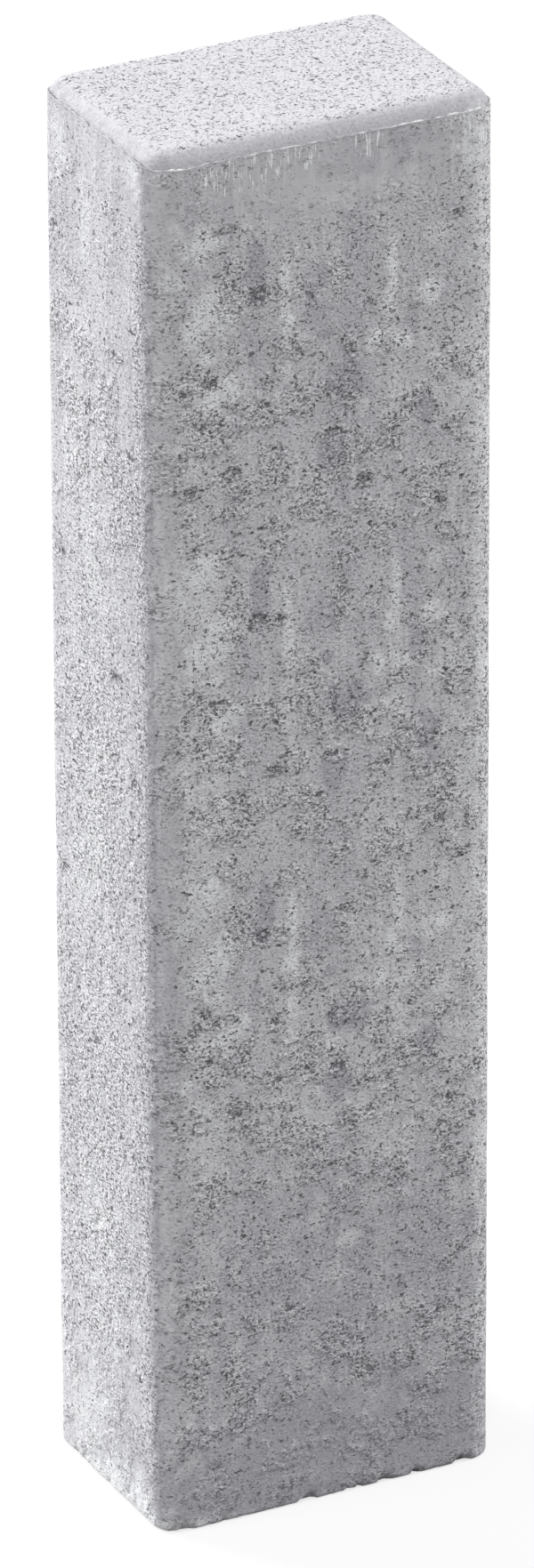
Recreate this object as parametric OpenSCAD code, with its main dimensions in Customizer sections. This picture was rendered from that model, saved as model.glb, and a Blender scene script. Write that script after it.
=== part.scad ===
// Palisade block: one upright cast of dry concrete with rounded vertical edges.
// The origin is the middle of the foot, x runs along the wide faces, z is up.
// The top is pressed by a stamp, which leaves a rounded bevel all the way round
// and a thin lip of squeezed mortar along the arris, where stamp and mould meet.

/* [Body] */
// Width of the two wide faces
block_w = 150; // [120:5:240]
// Depth of the two narrow faces
block_d = 100; // [80:5:160]
// Height from the foot to the flat top
block_h = 600; // [300:50:1200]
// Radius of the four vertical edges
edge_r = 10.5; // [10.5:0.5:25]

/* [Stamped top] */
// How far the rounded bevel reaches in from the lip
bevel_w = 8; // [6.5:0.5:8.5]
// How far the bevel falls from the flat top to the arris
bevel_h = 6.25; // [2:0.25:6.5]
// Thickness of the lip, measured in from the face of the block
lip_w = 0.8; // [0.4:0.1:1.5]
// Height of the lip above the arris
lip_h = 0.6; // [0.3:0.1:1.2]

/* [Hidden] */
$fn = 64;

// The bevel is an arc that leaves the flat top smoothly and ends at the lip
bevel_r = (bevel_w * bevel_w + bevel_h * bevel_h) / (2 * bevel_h);
arris_z = block_h - bevel_h;
// From the axis of a vertical edge out to where the bevel starts
flat_run = edge_r - lip_w - bevel_w;
// Straight stretches between the rounded vertical edges
straight_w = block_w - 2 * edge_r;
straight_d = block_d - 2 * edge_r;

// Section through the outer skin of the block, from the foot to the top:
// x runs out from the axis of a vertical edge, y runs up
module skin_section() {
    square([edge_r, arris_z]);
    translate([0, arris_z]) {
        square([flat_run, bevel_h]);
        intersection() {
            translate([flat_run, bevel_h - bevel_r])
                circle(r = bevel_r);
            translate([flat_run, 0])
                square([bevel_w, bevel_h]);
        }
        translate([edge_r - lip_w, 0])
            square([lip_w, lip_h]);
    }
}

// A straight stretch of the skin, its outside towards +x
module skin_straight(length) {
    rotate([90, 0, 0])
        linear_extrude(length, center = true)
            skin_section();
}

// A quarter turn of the skin round the axis of a vertical edge
module skin_corner() {
    rotate_extrude(angle = 90)
        skin_section();
}

module palisade_block() {
    color("darkgray") {
        translate([-straight_w / 2, -straight_d / 2, 0])
            cube([straight_w, straight_d, block_h]);
        for (side = [0, 180]) {
            rotate(side)
                translate([straight_w / 2, 0, 0])
                    skin_straight(straight_d);
            rotate(side + 90)
                translate([straight_d / 2, 0, 0])
                    skin_straight(straight_w);
            rotate(side)
                translate([straight_w / 2, straight_d / 2, 0])
                    skin_corner();
            rotate(side + 90)
                translate([straight_d / 2, straight_w / 2, 0])
                    skin_corner();
        }
    }
}

palisade_block();
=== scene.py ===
import math

import bpy
import numpy as np
from mathutils import Euler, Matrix, Quaternion, Vector, noise


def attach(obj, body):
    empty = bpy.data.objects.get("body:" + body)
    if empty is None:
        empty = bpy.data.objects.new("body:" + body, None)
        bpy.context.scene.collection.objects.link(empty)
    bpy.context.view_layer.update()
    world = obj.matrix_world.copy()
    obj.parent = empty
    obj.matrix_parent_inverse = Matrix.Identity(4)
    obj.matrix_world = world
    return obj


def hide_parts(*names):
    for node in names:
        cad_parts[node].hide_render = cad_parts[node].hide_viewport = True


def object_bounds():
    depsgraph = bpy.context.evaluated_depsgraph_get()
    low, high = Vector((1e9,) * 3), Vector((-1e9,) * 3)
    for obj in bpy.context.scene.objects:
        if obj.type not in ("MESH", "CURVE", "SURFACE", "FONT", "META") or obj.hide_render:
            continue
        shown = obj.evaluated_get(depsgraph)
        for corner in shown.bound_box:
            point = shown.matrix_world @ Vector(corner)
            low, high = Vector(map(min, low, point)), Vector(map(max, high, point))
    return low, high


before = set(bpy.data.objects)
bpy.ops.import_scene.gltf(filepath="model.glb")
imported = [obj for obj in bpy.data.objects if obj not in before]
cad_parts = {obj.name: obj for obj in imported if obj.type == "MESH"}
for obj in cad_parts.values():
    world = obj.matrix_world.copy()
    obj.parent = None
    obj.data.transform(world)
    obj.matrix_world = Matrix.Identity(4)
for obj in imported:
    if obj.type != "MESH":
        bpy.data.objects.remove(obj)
cadLow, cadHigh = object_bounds()
scene = bpy.context.scene
mm = 0.001

# The camera: a long lens, looking down on the block from its left front
view = {
    "place": (-2.1429, -4.2072, 2.5763),  # metres
    "heading": 26.97,  # degrees to the right of straight ahead
    "tilt": -25.76,  # degrees up
    "roll": -0.26,  # degrees
    "lens": 303.1,  # focal length in millimetres
    "farthest": 60,  # metres that the camera can see
}


def addCamera():
    data = bpy.data.cameras.new("camera")
    data.lens = view["lens"]
    data.clip_end = view["farthest"]
    camera = bpy.data.objects.new("camera", data)
    scene.collection.objects.link(camera)
    aim = Euler((math.radians(90 + view["tilt"]), 0, -math.radians(view["heading"])))
    roll = Quaternion((0, 0, 1), math.radians(view["roll"]))
    camera.location = view["place"]
    camera.rotation_mode = "QUATERNION"
    camera.rotation_quaternion = aim.to_quaternion() @ roll
    scene.camera = camera


addCamera()
print("camera placed")


# Shader expressions: a wire is a socket that sums and products can be written with
def plug(tree, value, socket):
    if isinstance(value, Wire):
        tree.links.new(value.socket, socket)
    else:
        socket.default_value = value


class Wire:
    def __init__(self, socket):
        self.socket = socket

    def join(self, operation, first, second):
        tree = self.socket.id_data
        made = tree.nodes.new("ShaderNodeMath")
        made.operation = operation
        plug(tree, first, made.inputs[0])
        plug(tree, second, made.inputs[1])
        return Wire(made.outputs[0])

    def __add__(self, other):
        return self.join("ADD", self, other)

    def __radd__(self, other):
        return self.join("ADD", other, self)

    def __sub__(self, other):
        return self.join("SUBTRACT", self, other)

    def __rsub__(self, other):
        return self.join("SUBTRACT", other, self)

    def __mul__(self, other):
        return self.join("MULTIPLY", self, other)

    def __rmul__(self, other):
        return self.join("MULTIPLY", other, self)


# The nodes of one material, or of the world
class Finish:
    def __init__(self, owner):
        self.owner = owner
        owner.use_nodes = True
        self.tree = owner.node_tree
        self.tree.nodes.clear()

    # any node: its settings are set first, then its sockets; out names the output wanted
    def node(self, kind, settings, sockets, out=0):
        made = self.tree.nodes.new(kind)
        for key, value in settings.items():
            setattr(made, key, value)
        for key, value in sockets.items():
            plug(self.tree, value, made.inputs[key])
        return Wire(made.outputs[out]) if made.outputs else made

    def fade(self, value, low, high, start=0.0, end=1.0):
        return self.node(
            "ShaderNodeMapRange",
            {"interpolation_type": "SMOOTHSTEP"},
            {"Value": value, "From Min": low, "From Max": high, "To Min": start, "To Max": end},
        )

    # two colours, which are inputs 6 and 7 of a Mix node
    def blend(self, amount, first, second):
        return self.node(
            "ShaderNodeMix",
            {"data_type": "RGBA"},
            {0: amount, 6: first, 7: second},
            out=2,
        )

    def vector(self, operation, first, second):
        return self.node("ShaderNodeVectorMath", {"operation": operation}, {0: first, 1: second})

    def field(self, name):
        return self.node("ShaderNodeAttribute", {"attribute_name": name}, {}, out="Fac")

    # noise whose grains are about size millimetres across
    def grainy(self, vector, size, detail=3.0, rough=0.6, out="Fac"):
        sockets = {"Vector": vector, "Scale": 1 / (size * mm), "Detail": detail, "Roughness": rough}
        return self.node("ShaderNodeTexNoise", {}, sockets, out=out)

    def output(self, kind, surface):
        self.node(kind, {}, {"Surface": surface})


# The block: a net of squares over the faces, pushed in and out by its relief. All lengths are
# in millimetres, and a size is roughly how far apart the swells of a kind lie
block = {
    "cell": 1.9,  # side of a square of the net
    "edgeRadius": 10.5,
    "bevelWidth": 8,
    "bevelDrop": 6.25,
    "bevelRings": 9,  # how many rings of the net the bevel has
    "lipWidth": 0.8,
    "lipHeight": 0.6,
    "raggedSize": 7,
    "closeRings": 2,  # the net is closer this far under the arris
    "wander": 0.6,  # how far the arris strays up and down
    "wanderSize": 8,
    "wanderReach": 3,  # how far above and below the arris that is felt
    "footBreak": 2.2,  # how far the worn foot edge reaches in and up
    "waviness": 0.22,  # slow swell of the mould faces
    "wavinessSize": 45,
    "lumps": 0.22,
    "lumpSize": 5,
    "seed": 5,  # of the swirl that makes the marks uneven
    "swirlSize": 5,
    "patchSize": 16,  # of the rough patches
    "crust": 0.2,  # how proud the pale paste stands
    "pitDepth": 0.8,
    "crumble": 1.3,  # depth of the crumbs missing along the foot
    "crumbleReach": 9,  # how far up they go
    "chipped": 1.8,  # how far the foot's points are lifted there
    "chippedReach": 4,
    "crumbSize": 7,
}

# Marks that a person would notice: face, across, up, half width and half height in
# millimetres, and kind; each of these shows again lower down
marks = [
    ("front", 19, 560, 8, 8, "pale"),
    ("front", 8, 547, 6, 12, "faint"),
    ("front", 9, 568, 3.5, 7, "faint"),
    ("front", 24, 531, 9, 11, "pale"),
    ("front", 16, 524, 5, 8, "pale"),
    ("front", 9, 538, 4, 7, "faint"),
    ("front", 22, 512, 5, 3, "pale"),
    ("front", 30, 498, 8, 6, "pale"),
    ("front", 25, 494, 6, 3.5, "pale"),
    ("front", 10, 477, 6, 5, "faint"),
    ("front", 15, 464, 8, 7, "faint"),
    ("front", 34, 472, 4, 4, "faint"),
    ("front", 56, 536, 2.6, 16, "pale"),
    ("front", 57, 505, 2.6, 32, "faint"),
    ("front", 56, 521, 4, 5, "pale"),
    ("front", 56, 505, 3.5, 8, "faint"),
    ("front", 54, 489, 3.5, 7, "faint"),
    ("front", 103, 537, 2.4, 15, "pale"),
    ("front", 103, 515, 3, 36, "faint"),
    ("front", 101, 521, 3, 6, "pale"),
    ("front", 95, 505, 3.5, 5, "pale"),
    ("front", 107, 503, 5, 4, "pale"),
    ("front", 104, 484, 5, 6, "faint"),
    ("front", 90, 478, 3, 5, "faint"),
    ("front", 122, 545, 6, 5, "faint"),
    ("front", 120, 522, 6, 6, "pale"),
    ("front", 131, 500, 9, 16, "haze"),
    ("front", 132, 475, 8, 9, "faint"),
    ("front", 121, 496, 5, 5, "faint"),
    ("front", 139, 540, 5, 20, "faint"),
    ("front", 16, 507, 3, 2, "hole"),
    ("front", 23, 502, 6, 2, "hole"),
    ("front", 12, 499, 2, 2.4, "hole"),
    ("front", 19, 484, 5, 2, "hole"),
    ("front", 44, 535, 5, 3, "hole"),
    ("front", 53, 534, 2.2, 2.2, "hole"),
    ("front", 31, 461, 6, 2.6, "hole"),
    ("front", 50, 469, 3.5, 2, "hole"),
    ("front", 15, 457, 3, 2.2, "hole"),
    ("front", 77, 470, 4, 2.6, "hole"),
    ("front", 97, 461, 5, 1.6, "hole"),
    ("front", 104, 467, 2.6, 2.6, "hole"),
    ("front", 109, 473, 2, 2, "hole"),
    ("front", 91, 448, 2.8, 2.4, "hole"),
    ("front", 127, 444, 3.6, 2.6, "hole"),
    ("front", 124, 432, 2.6, 3.4, "hole"),
    ("front", 49, 498, 2.2, 2.4, "hole"),
    ("front", 62, 507, 2, 2, "hole"),
    ("front", 80, 540, 4, 1.6, "hole"),
    ("front", 131, 553, 2.6, 1.8, "hole"),
    ("front", 146, 545, 3, 2, "hole"),
    ("front", 146, 472, 3, 2, "hole"),
    ("front", 33, 540, 6, 12, "rough"),
    ("front", 27, 480, 9, 6, "rough"),
    ("front", 66, 485, 6, 5, "worn"),
    ("front", 60, 512, 9, 4, "worn"),
    ("front", 80, 532, 5, 8, "worn"),
    ("front", 50, 456, 6, 4, "rough"),
    ("front", 18, 488, 8, 4, "rough"),
    ("front", 66, 441, 8, 5, "rough"),
    ("front", 95, 425, 4, 5, "rough"),
    ("front", 79, 427, 4, 3, "rough"),
    ("front", 127, 420, 4, 5, "rough"),
    ("front", 106, 470, 8, 6, "rough"),
    ("front", 100, 568, 4, 4, "rough"),
    ("front", 44, 546, 5, 15, "dark"),
    ("front", 42, 512, 4, 8, "dim"),
    ("front", 82, 492, 10, 8, "dark"),
    ("front", 76, 463, 6, 10, "dark"),
    ("front", 117, 473, 5, 8, "dark"),
    ("front", 119, 459, 8, 6, "dim"),
    ("front", 70, 530, 9, 16, "dim"),
    ("front", 73, 513, 4, 3, "dark"),
    ("front", 112, 512, 4, 8, "dim"),
    ("left", 27, 571, 4, 3, "rough"),
    ("left", 61, 565, 6, 3, "rough"),
    ("left", 14, 540, 5, 2, "hole"),
    ("left", 32, 497, 4, 4, "rough"),
    ("left", 63, 505, 6, 1.6, "hole"),
    ("left", 55, 472, 10, 5, "rough"),
    ("left", 40, 474, 4, 2, "hole"),
    ("left", 30, 460, 6, 6, "rough"),
    ("left", 78, 465, 3, 2.2, "hole"),
    ("left", 28, 448, 7, 5, "faint"),
    ("left", 40, 555, 7, 26, "faint"),
    ("left", 94, 545, 6, 2, "hole"),
]
markRepeat = {
    "drop": 138,  # how far down a mark shows again
    "times": 3,
    "lowest": 140,  # no mark is repeated under this
    "roughest": 465,  # where the topmost rough band is
}

# Marks that show once
loneMarks = [
    # under the arris the skin is smooth, with strokes drawn down from the lip
    ("front", 80, 580, 62, 16, "calm"),
    ("front", 2, 576, 14, 15, "calm"),
    ("front", 95, 585, 26, 16, "dim"),
    ("front", 138, 581, 6, 13, "pale"),
    ("front", 38, 589, 20, 9, "drag"),
    ("front", 60, 591, 12, 7, "drag"),
    ("front", 91, 590, 8, 7, "drag"),
    ("front", 140, 588, 12, 12, "drag"),
    ("front", 31, 566, 3, 1.8, "hole"),
    ("front", 1.5, 591.5, 2.6, 1.4, "hole"),
    ("front", 5, 588, 1.6, 1.2, "hole"),
    ("left", 84, 580, 10, 14, "calm"),
    ("left", 50, 584, 50, 12, "even"),
    ("left", 18, 577, 7, 20, "faint"),
    ("left", 82, 586, 8, 8, "faint"),
    # bands down the whole front; the pale ones at the right edge are painted light on the rounded edge
    ("front", 20, 290, 13, 185, "haze"),
    ("front", 134, 330, 11, 300, "bloom_and_painted_light"),
    ("front", 142, 330, 7, 400, "faint"),
    ("front", 147, 300, 4, 450, "worn"),
    # low on the front it is darker, and crumbs stick at the very foot
    ("front", 85, 70, 110, 95, "dim"),
    ("front", 85, 12, 95, 42, "dark"),
    ("front", 85, 6, 62, 14, "dark"),
    ("front", 125, 16, 30, 18, "dark"),
    ("front", 85, 14, 95, 34, "even"),
    ("front", 85, 115, 6, 5, "faint"),
    ("front", 76, 101, 9, 6, "bloom_and_painted_light"),
    ("front", 95, 38, 13, 9, "bloom_and_painted_light"),
    ("front", 46, 122, 5, 3, "rough"),
    ("front", 15, 105, 8, 5, "rough"),
    ("front", 57, 50, 6, 3, "rough"),
    ("front", 133, 50, 6, 4, "rough"),
    ("front", 55, 22, 10, 4, "rough"),
    ("front", 56, 90, 5, 1.8, "hole"),
    ("front", 90, 55, 5, 3.4, "hole"),
    ("front", 24, 25, 3, 3, "hole"),
    ("front", 16, 1.5, 1.6, 1.2, "pale"),
    ("front", 63, 2, 2.2, 1.3, "pale"),
    # the left side: rough along its middle, with painted shade towards its front edge, pale at the foot
    ("left", 45, 260, 36, 190, "scuffed"),
    ("left", 45, 150, 36, 90, "worn"),
    ("left", 86, 300, 5, 450, "worn"),
    ("left", 83, 300, 7, 450, "dim"),
    ("left", 91, 300, 4, 450, "dark"),
    ("left", 97, 300, 9, 450, "even"),
    ("left", 40, 330, 30, 300, "bloom_and_painted_light"),
    ("left", 45, 100, 36, 90, "haze"),
    ("left", 35, 25, 24, 22, "faint"),
    ("left", 45, 25, 60, 40, "even"),
    ("left", 70, 12, 20, 10, "faint"),
    ("left", 60, 0, 45, 12, "pale"),
]

# What each kind of mark changes, by how much, how far past its half size and how softly
markKinds = {
    "pale": ("pale", 0.9, 1.6, 1.2),
    "faint": ("pale", 0.5, 1.6, 1.2),
    "bloom_and_painted_light": ("pale", 0.27, 1.6, 1.2),
    "haze": ("pale", 0.4, 1.6, 1.2),
    "dark": ("dark", 1.0, 1.5, 1.0),
    "dim": ("dark", 0.5, 1.5, 1.0),
    "rough": ("rough", 1.0, 1.6, 1.2),
    "worn": ("rough", 0.6, 1.6, 1.2),
    "scuffed": ("rough", 0.45, 1.6, 1.2),
    "drag": ("drag", 1.0, 1.5, 1.0),
    "hole": ("pit", 1.0, 1.6, 1.5),
    "calm": ("calm", 1.0, 1.4, 0.8),
    "even": ("calm", 0.5, 1.4, 0.8),
}
rim = ("rough", 1.0, 2.0, 1.3)  # and how a hole roughens what is round it

# What the concrete is told of each point: fields from 0 to 1, kept in the mesh
fieldNames = ("pit", "rough", "pale", "dark", "stamp", "drag", "lip", "calm")

blockWidth = (cadHigh.x - cadLow.x) / mm
blockDepth = (cadHigh.y - cadLow.y) / mm
blockHeight = (cadHigh.z - cadLow.z) / mm
straightWidth = blockWidth - 2 * block["edgeRadius"]
straightDepth = blockDepth - 2 * block["edgeRadius"]
arrisHeight = blockHeight - block["bevelDrop"]
quarterRound = math.radians(90) * block["edgeRadius"]
stepsWide = int((straightWidth + quarterRound) / block["cell"])
stepsDeep = int((straightDepth + quarterRound) / block["cell"])


# One side of the plan, from the middle of one rounded edge to the middle of the next:
# for each point, how far along the straight it is anchored and which way it faces
def planSide(straight, steps, facing):
    total = straight + quarterRound
    spots = []
    for i in range(steps):
        run = total * i / steps - quarterRound / 2
        turn = min(run, 0) + max(run - straight, 0)
        along = min(max(run, 0), straight) - straight / 2
        spots.append((along, facing + turn / block["edgeRadius"]))
    return spots


def plan():
    anchors, facings = [], []
    sides = [
        (straightWidth, stepsWide, -90, (1, 0), (0, -straightDepth / 2)),
        (straightDepth, stepsDeep, 0, (0, 1), (straightWidth / 2, 0)),
        (straightWidth, stepsWide, 90, (-1, 0), (0, straightDepth / 2)),
        (straightDepth, stepsDeep, 180, (0, -1), (-straightWidth / 2, 0)),
    ]
    for straight, steps, facing, forward, middle in sides:
        for along, angle in planSide(straight, steps, math.radians(facing)):
            anchors.append((middle[0] + forward[0] * along, middle[1] + forward[1] * along))
            facings.append((math.cos(angle), math.sin(angle)))
    return np.array(anchors), np.array(facings)


# Rings from the foot to the flat top: how far in from the face, how high, and the slope it faces
def profile():
    foot = block["footBreak"]
    wornFoot = [(1, 0, -80), (0.5, 0.1, -65), (0.2, 0.32, -40), (0.04, 0.65, -20)]
    rings = [(foot * inward, foot * up, slope) for inward, up, slope in wornFoot]

    # the face
    low, high = foot, arrisHeight - block["closeRings"]
    rows = round((high - low) / block["cell"])
    rings += [(0, low + (high - low) * i / rows, 0) for i in range(rows + 1)]
    rings += [(0, arrisHeight - block["closeRings"] / 2, 0), (0, arrisHeight, 0)]

    # the lip: up its outside, over it and down behind it
    lipTop = arrisHeight + block["lipHeight"]
    rings += [(0.03, lipTop - 0.25, 20), (block["lipWidth"] * 0.4, lipTop, 80)]
    rings += [(block["lipWidth"], arrisHeight + 0.05, 40)]

    # the bevel: an arc that leaves the flat top smoothly
    width, drop = block["bevelWidth"], block["bevelDrop"]
    radius = (width * width + drop * drop) / (2 * drop)
    widest = math.asin(width / radius)
    for i in range(1, block["bevelRings"] + 1):
        angle = widest * (1 - i / block["bevelRings"])
        inset = block["lipWidth"] + width - radius * math.sin(angle)
        rings.append((inset, blockHeight - radius * (1 - math.cos(angle)), 90 - math.degrees(angle)))
    rings.append((block["lipWidth"] + width + 1, blockHeight, 90))
    return rings


# Fills a ring with a net whose sides match the plan's four sides
def fillNet(ring):
    wide, deep = stepsWide, stepsDeep
    loop = np.vstack([ring, ring[:1]])
    front = loop[: wide + 1]
    right = loop[wide : wide + deep + 1]
    back = loop[wide + deep : 2 * wide + deep + 1][::-1]
    left = loop[2 * wide + deep :][::-1]
    u = np.linspace(0, 1, wide + 1)[1:-1, None, None]
    v = np.linspace(0, 1, deep + 1)[None, 1:-1, None]
    across = (1 - v) * front[1:-1, None] + v * back[1:-1, None]
    along = (1 - u) * left[None, 1:-1] + u * right[None, 1:-1]
    corners = (1 - u) * (1 - v) * front[0] + u * (1 - v) * front[-1]
    corners = corners + (1 - u) * v * back[0] + u * v * back[-1]
    return across + along - corners


# The squares of such a net: inner holds the numbers of the points within the ring
def netFaces(ringStart, inner, up):
    wide, deep = stepsWide, stepsDeep
    index = np.zeros((wide + 1, deep + 1), int)
    order = ringStart + np.arange(2 * (wide + deep))
    index[:, 0] = order[: wide + 1]
    index[-1, :] = order[wide : wide + deep + 1]
    index[::-1, -1] = order[wide + deep : 2 * wide + deep + 1]
    index[0, 1:] = order[2 * wide + deep :][::-1]
    index[1:-1, 1:-1] = inner
    corners = [index[:-1, :-1], index[1:, :-1], index[1:, 1:], index[:-1, 1:]]
    quads = np.stack(corners, -1).reshape(-1, 4)
    return quads if up else quads[:, ::-1]


# The whole net: its points, which way each faces, and its squares
def layNet():
    anchors, facings = plan()
    rings = profile()
    count = len(anchors)
    spots, outs = [], []
    for inset, height, slope in rings:
        reach = block["edgeRadius"] - inset
        lean = math.radians(slope)
        spots.append(np.hstack([anchors + facings * reach, np.full((count, 1), float(height))]))
        outs.append(np.hstack([facings * math.cos(lean), np.full((count, 1), math.sin(lean))]))

    quads = []
    around = np.arange(count)
    for row in range(len(rings) - 1):
        low, high = row * count + around, (row + 1) * count + around
        quads.append(np.stack([low, np.roll(low, -1), np.roll(high, -1), high], -1))

    nets = [(len(rings) - 1, 1.0), (0, -1.0)]  # the top's ring and the foot's, and which way they face
    base = len(rings) * count
    for ring, up in nets:
        net = fillNet(spots[ring])
        inner = base + np.arange(net.shape[0] * net.shape[1]).reshape(net.shape[:2])
        quads.append(netFaces(ring * count, inner, up > 0))
        spots.append(net.reshape(-1, 3))
        outs.append(np.tile((0, 0, up), (inner.size, 1)))
        base += inner.size
    return np.vstack(spots), np.vstack(outs), np.vstack(quads)


def smooth(value, low, high):
    t = min(max((value - low) / (high - low), 0.0), 1.0)
    return t * t * (3 - 2 * t)


# Each mark's place in space, its half sizes along x, y and z, and its kind
def placeMarks():
    everywhere = list(loneMarks)
    for face, across, up, wide, tall, kind in marks:
        for i in range(markRepeat["times"]):
            height = up - i * markRepeat["drop"]
            if height > markRepeat["lowest"]:
                everywhere.append((face, across + i, height, wide, tall, kind))
    placed = []
    for face, across, up, wide, tall, kind in everywhere:
        if face == "front":
            spot = Vector((across - blockWidth / 2, -blockDepth / 2, up))
        else:
            spot = Vector((-blockWidth / 2, blockDepth / 2 - across, up))
        placed.append((spot, Vector((wide, wide, tall)), kind))
    return placed


# How strongly the marks change each field at one point; the swirl makes their outlines uneven
def marked(p, swirl, placed):
    level = dict.fromkeys(fieldNames, 0.0)
    for spot, half, kind in placed:
        away = p - spot
        if max(abs(away.x), abs(away.y)) > 2 * half.x or abs(away.z) > 2 * half.z:
            continue
        away += swirl * min(half.x, half.z) * 0.5
        distance = Vector((away.x / half.x, away.y / half.y, away.z / half.z)).length
        changes = [markKinds[kind], rim] if kind == "hole" else [markKinds[kind]]
        for field, strength, reach, soft in changes:
            level[field] = max(level[field], strength * smooth(reach - distance, 0, soft))
    return level


# How worn a face is at a height: in bands, one to each run of marks, and none near the top
def bandWear(height):
    above = height - markRepeat["roughest"]
    if above >= markRepeat["drop"] / 2:
        return 0
    return 0.5 + 0.5 * math.cos(2 * math.pi * above / markRepeat["drop"])


# Painted shade on the bevel, for the light it misses: most just above the lip, and all the way up along
# the front
def paintedBevelShade(p, out):
    frontward = smooth(-out[1] / max(math.hypot(out[0], out[1]), 0.01), 0.2, 0.9)
    justAbove = 0.8 * (1 - smooth(p.z, arrisHeight + 0.6, arrisHeight + 4.5))
    allTheWay = frontward * (1 - smooth(p.z, arrisHeight + 3.5, blockHeight + 0.8))
    return max(0.5, justAbove, allTheWay)


# How the faces swell and sink, and what the surface is like, at every point of the net
def relief(spots, outs):
    noise.seed_set(block["seed"])
    placed = placeMarks()
    elsewhere = Vector((3, 7, 1))  # keeps the patches apart from the other noise
    offsets = np.zeros(len(spots))
    fields = {name: np.zeros(len(spots)) for name in fieldNames}
    for i, (spot, out) in enumerate(zip(spots, outs)):
        p = Vector(spot)
        swirl = noise.noise_vector(p / block["swirlSize"])
        level = marked(p, swirl, placed)
        pit, pale = level["pit"], level["pale"]
        stamped = smooth(p.z, arrisHeight - 0.5, arrisHeight + 0.7)  # 1 on the bevel and the top
        flat = smooth(out[2], 0.78, 1.0) * stamped  # 1 on the top alone

        patchy = noise.fractal(p / block["patchSize"] + elsewhere, 0.7, 2.1, 4)
        rough = (0.3 + 0.6 * bandWear(p.z)) * smooth(patchy, -0.2, 0.5)
        rough = max(level["rough"], rough) * (1 - stamped) + 0.2 * flat

        lump = noise.fractal((p + swirl) / block["lumpSize"], 0.8, 2.2, 3)
        offset = block["waviness"] * noise.fractal(p / block["wavinessSize"], 0.9, 2.0, 2)
        offset += block["lumps"] * (0.1 + rough) * lump
        offset += block["crust"] * pale - block["pitDepth"] * pit
        offsets[i] = offset

        fields["pit"][i] = pit
        fields["rough"][i] = rough
        fields["pale"][i] = pale * (1 - pit)
        # on the bevel the dark field holds painted shade
        fields["dark"][i] = max(level["dark"], (stamped - flat) * paintedBevelShade(p, out))
        fields["stamp"][i] = stamped
        fields["drag"][i] = level["drag"] * (1 - stamped)
        fields["calm"][i] = level["calm"] * (1 - stamped)
    return offsets, fields


lyingLevel = 0.99  # how much of a facing is up or down, where the net lies level


# Wears the lip, the arris and the foot: moves points and changes their offsets and fields
def wearEdges(spots, outs, offsets, fields):
    for i, (spot, out) in enumerate(zip(spots, outs)):
        p = Vector(spot)
        above = p.z - arrisHeight
        if 0 < above < block["lipHeight"] * 1.2 and out[2] < lyingLevel:
            # the lip is ragged, taller in places and broken in others
            ragged = 0.5 + 0.9 * noise.fractal(p / block["raggedSize"], 0.7, 2.2, 3)
            frontward = smooth(-p.y, straightDepth / 2, blockDepth / 2 - 1)
            spot[2] += (ragged - 0.6) * above
            offsets[i] = 0.3 * offsets[i] + 0.12 * ragged
            fields["pit"][i] *= 0.3
            if 0.5 <= out[2] <= 0.9:
                fields["dark"][i] = 0.7  # painted shade in the hollow behind the lip
            else:
                # the lip's light line is a painted highlight, strongest along the front
                fields["lip"][i] = smooth(ragged, 0.4, 0.75) * (0.1 + 0.9 * frontward)
        if abs(above) < block["wanderReach"]:
            # the whole arris wanders up and down
            wander = noise.fractal(Vector((p.x, p.y, 0)) / block["wanderSize"], 0.8, 2.1, 3)
            spot[2] += block["wander"] * wander * (1 - abs(above) / block["wanderReach"])
        if p.z < block["crumbleReach"] and out[2] > -lyingLevel:
            # crumbs are missing along the foot
            lying = Vector((p.x, p.y, p.z * 0.6))
            bite = smooth(noise.fractal(lying / block["crumbSize"], 0.8, 2.3, 3), -0.1, 0.6)
            inward = smooth(block["crumbleReach"] - p.z, 0, block["crumbleReach"])
            upward = smooth(block["chippedReach"] - p.z, 0, block["chippedReach"])
            offsets[i] -= block["crumble"] * bite * inward
            spot[2] += block["chipped"] * bite * upward


def makeMesh(name, spots, quads, fields):
    mesh = bpy.data.meshes.new(name)
    mesh.vertices.add(len(spots))
    mesh.vertices.foreach_set("co", (spots * mm).astype(np.float32).ravel())
    mesh.loops.add(4 * len(quads))
    mesh.loops.foreach_set("vertex_index", quads.astype(np.int32).ravel())
    mesh.polygons.add(len(quads))
    mesh.polygons.foreach_set("loop_start", np.arange(0, 4 * len(quads), 4, dtype=np.int32))
    mesh.polygons.foreach_set("use_smooth", np.ones(len(quads), bool))
    mesh.update()
    mesh.validate()
    for field, values in fields.items():
        layer = mesh.attributes.new(field, "FLOAT", "POINT")
        layer.data.foreach_set("value", values.astype(np.float32))
    return mesh


def buildBlock():
    spots, outs, quads = layNet()
    print("net laid:", len(spots), "points,", 2 * len(quads), "triangles")
    offsets, fields = relief(spots, outs)
    wearEdges(spots, outs, offsets, fields)
    offsets[outs[:, 2] < -lyingLevel] = 0  # the underside stays flat
    outs[outs[:, 2] < -0.6, 2] = 0  # and the worn edge round it only moves sideways
    spots = spots + outs * offsets[:, None]
    spots[:, 2] = np.clip(spots[:, 2], 0, None)
    cast = bpy.data.objects.new("cast_block", makeMesh("cast_block", spots, quads, fields))
    scene.collection.objects.link(cast)
    return cast


castBlock = buildBlock()
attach(castBlock, "root")
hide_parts("palisade_block")
print("block built")

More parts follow.
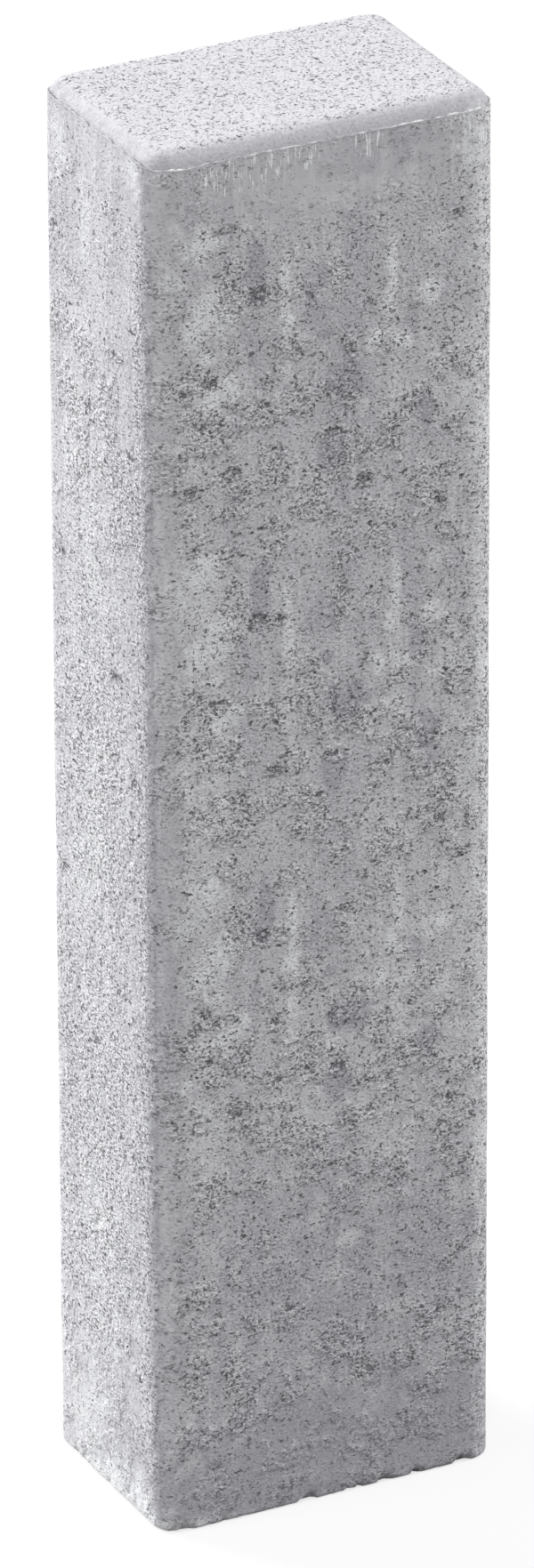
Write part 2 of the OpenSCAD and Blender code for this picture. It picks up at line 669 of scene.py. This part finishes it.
# The concrete: its colours, and the sizes and heights in millimetres of what shows in it
concrete = {
    "skin": (0.502, 0.501, 0.523, 1),  # plain cement skin
    "pale": (0.75, 0.755, 0.77, 1),  # lime bloom and fines, and painted light on the front's rounded right edge
    "dark": (0.36, 0.36, 0.385, 1),  # denser, wetter patches, and painted shade on the bevel, behind the lip and towards the front of the left side
    "shade": (0.165, 0.165, 0.18, 1),  # painted shade in the lows between grains
    "pore_shade": (0.10, 0.10, 0.11, 1),  # painted shade at the bottom of a pore
    "grit_and_highlight": (0.83, 0.835, 0.85, 1),  # light grains of sand and strokes, painted highlight on raised grains, and the painted highlight along the lip
    "roughness": 0.93,
    "specular": 0.25,
    "swirlSize": 3,
    "swirlReach": 2,
    "grainSize": 1.25,
    "speckSize": 1.5,
    "sandSize": 2.8,
    "fleckSize": 2.4,
    "topFleckSize": 1.25,
    "patchSize": 9,
    "cloudSize": 30,
    "streakSize": 3,
    "bandSize": 16,
    "strokeSize": 0.95,
    "grainRelief": 0.65,
    "sandRelief": 0.75,
    "pasteRelief": 0.12,
    "streakRelief": 0.15,
    "strokeRelief": 0.12,
    "speckRelief": 0.35,
    "pitRelief": 0.9,
}


def makeConcrete():
    finish = Finish(bpy.data.materials.new("dry_cast_concrete"))
    fade, grainy = finish.fade, finish.grainy
    # in the order of fieldNames
    pit, rough, pale, dark, stamp, drag, lip, calm = (finish.field(name) for name in fieldNames)
    sides = 1 - stamp
    even = 1 - stamp * 0.85  # the stamped top is more even than the sides

    # where the noise is read: swirled, then with grains a little low, and longer along y
    place = finish.node("ShaderNodeTexCoord", {}, {}, out="Object")
    swirl = grainy(place, concrete["swirlSize"], 2.0, out="Color")
    swirl = finish.vector("SUBTRACT", swirl, (0.5, 0.5, 0.5))
    swirl = finish.vector("MULTIPLY", swirl, (concrete["swirlReach"] * mm,) * 3)
    warped = finish.vector("ADD", place, swirl)
    drawn = finish.node("ShaderNodeCombineXYZ", {}, {"X": 1, "Y": 0.7 + stamp * 0.3, "Z": 1.25})
    layered = finish.vector("MULTIPLY", warped, drawn)
    flat = finish.vector("MULTIPLY", layered, (0.8, 1, 1))
    hung = finish.vector("MULTIPLY", place, (1, 1, 0.1))  # streaks down the faces
    dragged = finish.vector("MULTIPLY", place, (1, 1, 0.14))

    # patches: broken skin, damp spots and pale paste, whose edges follow the noise; the damp spots also
    # carry the painted shade of the dark field
    patch = grainy(warped, concrete["patchSize"], 5.0, 0.62)
    cloud = grainy(place, concrete["cloudSize"], 4.0, 0.55)
    sand = grainy(layered, concrete["sandSize"], 2.0)
    broken = fade(rough * (patch * 4 - 0.9), 0.05, 0.75)
    dampAndShade = fade(dark + (patch - 0.5) * 1.2, 0.2, 0.8)
    paste = fade(pale * (3.6 - patch * 2.4 - sand * 2.8), 0.05, 1.0)

    # grains stand out of the skin where it is broken, and little where it is stamped or calm
    grain = grainy(layered, concrete["grainSize"], 1.0, 0.5)
    loose = (0.5 + 0.5 * broken) * (1 - stamp * 0.4) * (1 - calm * 0.8)

    # pores: hardly any on the bevel and in the calm places under the arris
    spotted = 1 - calm * 0.7 - stamp * fade(rough, 0.05, 0.2, 1.0, 0.1)
    speck = grainy(layered, concrete["speckSize"], 2.0)
    speck = fade(speck - broken * 0.06, 0.32, 0.365, 1.0, 0.0) * spotted
    crater = fade(sand - pit * 0.2, 0.27, 0.35, 1.0, 0.0) * spotted

    def dots(size, larger):
        sockets = {"Vector": flat, "Scale": 1 / (size * mm)}
        near = finish.node("ShaderNodeTexVoronoi", {"feature": "F1"}, sockets, out="Distance")
        return 1 - fade(near + (sand - 0.5) * 1.1 - larger, 0.07, 0.15)

    fleck = dots(concrete["fleckSize"], 0.01) * sides
    fleck = (fleck + dots(concrete["topFleckSize"], 0.12) * stamp) * spotted

    # what runs down the faces, and the strokes drawn down from the lip
    streak = grainy(hung, concrete["streakSize"])
    band = grainy(hung, concrete["bandSize"], 2.0, 0.5)
    stroke = grainy(dragged, concrete["strokeSize"], 1.0, 0.5)
    stroke = fade(stroke, 0.55, 0.63) * fade(drag + (patch - 0.5) * 1.5, 0.3, 0.7)

    # coats over the skin, first to last: how much of each, and its colour
    coats = [
        (fade(cloud, 0.40, 0.68, 0.0, 0.2) * even, "pale"),
        (fade(patch, 0.5, 0.7, 0.0, 0.12) * even, "dark"),
        (fade(band, 0.45, 0.70, 0.0, 0.35) * sides, "dark"),
        (fade(streak, 0.50, 0.70, 0.0, 0.28) * sides, "pale"),
        (stamp * 0.1, "dark"),
        (dampAndShade * 0.8, "dark"),
        (paste * 0.85, "pale"),
        # the lows between grains and sand get painted shade, their tops light sand and painted highlight
        (fade(grain, 0.47, 0.30) * loose, "shade"),
        (fade(grain, 0.54, 0.72, 0.0, 0.7) * loose * (1 - stamp * 0.4), "grit_and_highlight"),
        (fade(sand, 0.46, 0.28, 0.0, 0.2) * broken, "shade"),
        (fade(sand, 0.54, 0.70, 0.0, 0.3) * broken, "grit_and_highlight"),
        (stroke * 0.85, "grit_and_highlight"),
        # pores, specks and flecks are darkened with painted shade
        (speck * (0.8 - stamp * 0.15), "pore_shade"),
        (fleck * (0.8 + stamp * 0.2), "pore_shade"),
        (crater * 0.5, "pore_shade"),
        # painted highlight along the lip
        (lip, "grit_and_highlight"),
    ]
    base = concrete["skin"]
    for amount, colour in coats:
        base = finish.blend(amount, base, concrete[colour])

    height = grain * concrete["grainRelief"] * loose
    height = height + sand * concrete["sandRelief"] * (0.06 + 0.94 * broken)
    height = height + paste * concrete["pasteRelief"] + streak * concrete["streakRelief"] * sides
    height = height + stroke * concrete["strokeRelief"]
    height = height - (speck + fleck) * concrete["speckRelief"] - crater * concrete["pitRelief"]
    bump = finish.node("ShaderNodeBump", {}, {"Height": height, "Strength": 1.0, "Distance": 1.0 * mm})
    surface = {
        "Base Color": base,
        "Roughness": concrete["roughness"],
        "Specular IOR Level": concrete["specular"],
        "Normal": bump,
    }
    finish.output("ShaderNodeOutputMaterial", finish.node("ShaderNodeBsdfPrincipled", {}, surface))
    return finish.owner


castBlock.data.materials.append(makeConcrete())
print("concrete mixed")

# The stage: a pale floor, four soft lamps and a pale room
stage = {
    "floorSize": 40,  # metres
    "floorColour": (0.28, 0.28, 0.285, 1),
    "floorSeen": (0.2, 0.2, 0.2, 1),  # its colour for the camera
    "floorGlow": 0.72,  # what the camera sees of the floor before any light falls on it
    "world": 0.36,
    "lampDistance": 3,  # metres
    # heading of the light's source from the block, height in degrees, strength, softness
    "lamps": {
        "window": (-155, 15, 1.5, 26),
        "side_lamp": (-95, 35, 0.25, 30),
        "top_lamp": (-20, 66, 0.53, 14),
        "right_lamp": (82, 22, 0.74, 24),
    },
}


def addFloor():
    half = stage["floorSize"] / 2
    corners = [(-half, -half, 0), (half, -half, 0), (half, half, 0), (-half, half, 0)]
    mesh = bpy.data.meshes.new("floor")
    mesh.from_pydata(corners, [], [(0, 1, 2, 3)])
    floor = bpy.data.objects.new("floor", mesh)
    scene.collection.objects.link(floor)
    finish = Finish(bpy.data.materials.new("pale_floor"))
    seen = finish.node("ShaderNodeLightPath", {}, {}, out="Is Camera Ray")
    paint = finish.node("ShaderNodeBsdfDiffuse", {}, {"Color": stage["floorColour"]})
    thin = finish.node("ShaderNodeBsdfDiffuse", {}, {"Color": stage["floorSeen"]})
    glow = finish.node("ShaderNodeEmission", {}, {"Color": (1, 1, 1, 1), "Strength": stage["floorGlow"]})
    pale = finish.node("ShaderNodeAddShader", {}, {0: thin, 1: glow})
    both = finish.node("ShaderNodeMixShader", {}, {0: seen, 1: paint, 2: pale})
    finish.output("ShaderNodeOutputMaterial", both)
    mesh.materials.append(finish.owner)


def addLamps():
    for name, (heading, height, strength, softness) in stage["lamps"].items():
        data = bpy.data.lights.new(name, "SUN")
        data.energy = strength * math.pi
        data.angle = math.radians(softness)
        lamp = bpy.data.objects.new(name, data)
        turn, lift = math.radians(heading), math.radians(height)
        level = math.cos(lift)
        source = Vector((math.sin(turn) * level, -math.cos(turn) * level, math.sin(lift)))
        lamp.rotation_mode = "QUATERNION"
        lamp.rotation_quaternion = source.to_track_quat("Z", "Y")
        lamp.location = source * stage["lampDistance"]
        scene.collection.objects.link(lamp)


# The room is white where it is seen straight, mirrored or through glass, and dimmer as a light
def addWorld():
    finish = Finish(bpy.data.worlds.new("room"))
    seen = 0
    for ray in ("Is Camera Ray", "Is Glossy Ray", "Is Transmission Ray"):
        seen = seen + finish.node("ShaderNodeLightPath", {}, {}, out=ray)
    strength = stage["world"] + (1 - stage["world"]) * seen
    room = finish.node("ShaderNodeBackground", {}, {"Color": (1, 1, 1, 1), "Strength": strength})
    finish.output("ShaderNodeOutputWorld", room)
    scene.world = finish.owner


addFloor()
addLamps()
addWorld()
scene.view_settings.view_transform = "Standard"
print("stage set")
